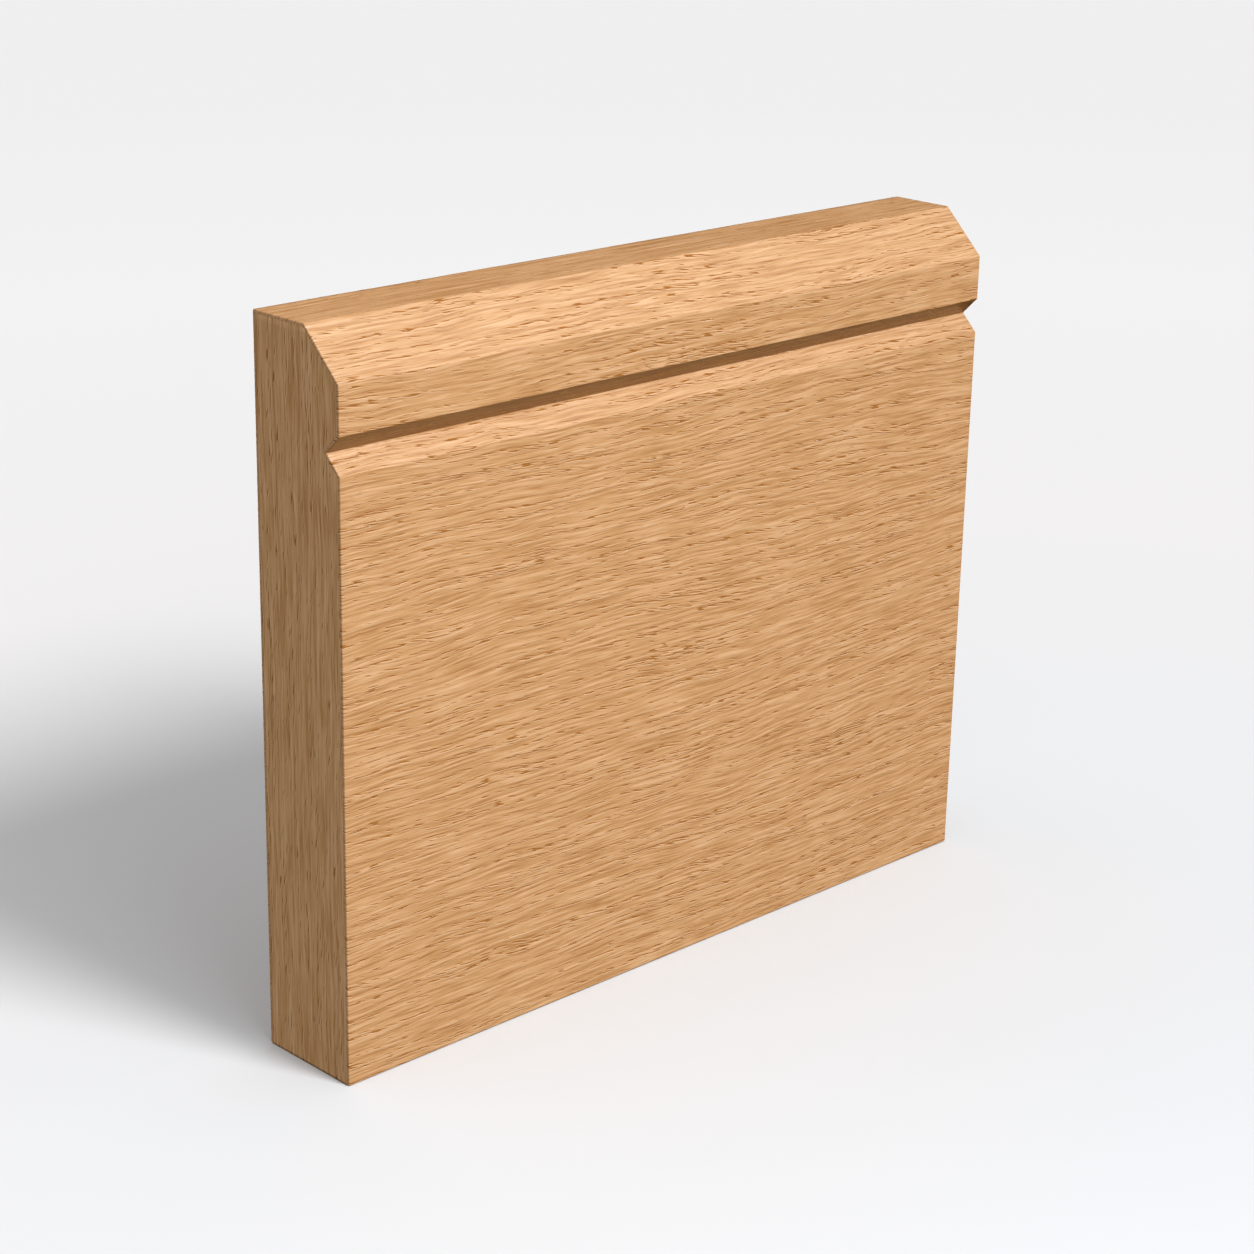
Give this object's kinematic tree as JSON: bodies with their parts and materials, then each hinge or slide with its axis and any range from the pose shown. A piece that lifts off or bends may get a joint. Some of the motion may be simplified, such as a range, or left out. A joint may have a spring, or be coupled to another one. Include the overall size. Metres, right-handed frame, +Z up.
{
  "type": "skirting board",
  "caption": "Short straight length of oak-veneered skirting board with a chamfered top, a plain band and a V-groove along its show face.",
  "frame": {"origin": "middle of the underside, on the floor", "axes": "+X along the board, -Y the show side, +Y the wall side, +Z up"},
  "size_m": [0.144, 0.02, 0.12],
  "materials": {
    "mdf_core": "raw moisture-resistant MDF, fine pressed fibre, matt",
    "oak_face": "brushed oak veneer with the grain along the board, clear matt lacquer",
    "oak_top_edge": "fine straight-grained oak veneer with the grain along the board, clear matt lacquer",
    "oak_back": "plain oak balancing veneer with the grain along the board, sanded",
    "oak_end": "straight-grained oak veneer with the grain upright, clear matt lacquer"
  },
  "bodies": {
    "root": {"core_board": "mdf_core", "face_veneer": "oak_face", "top_edge_veneer": "oak_top_edge", "back_veneer": "oak_back", "left_end_veneer": "oak_end", "right_end_veneer": "oak_end"}
  },
  "joints": []
}
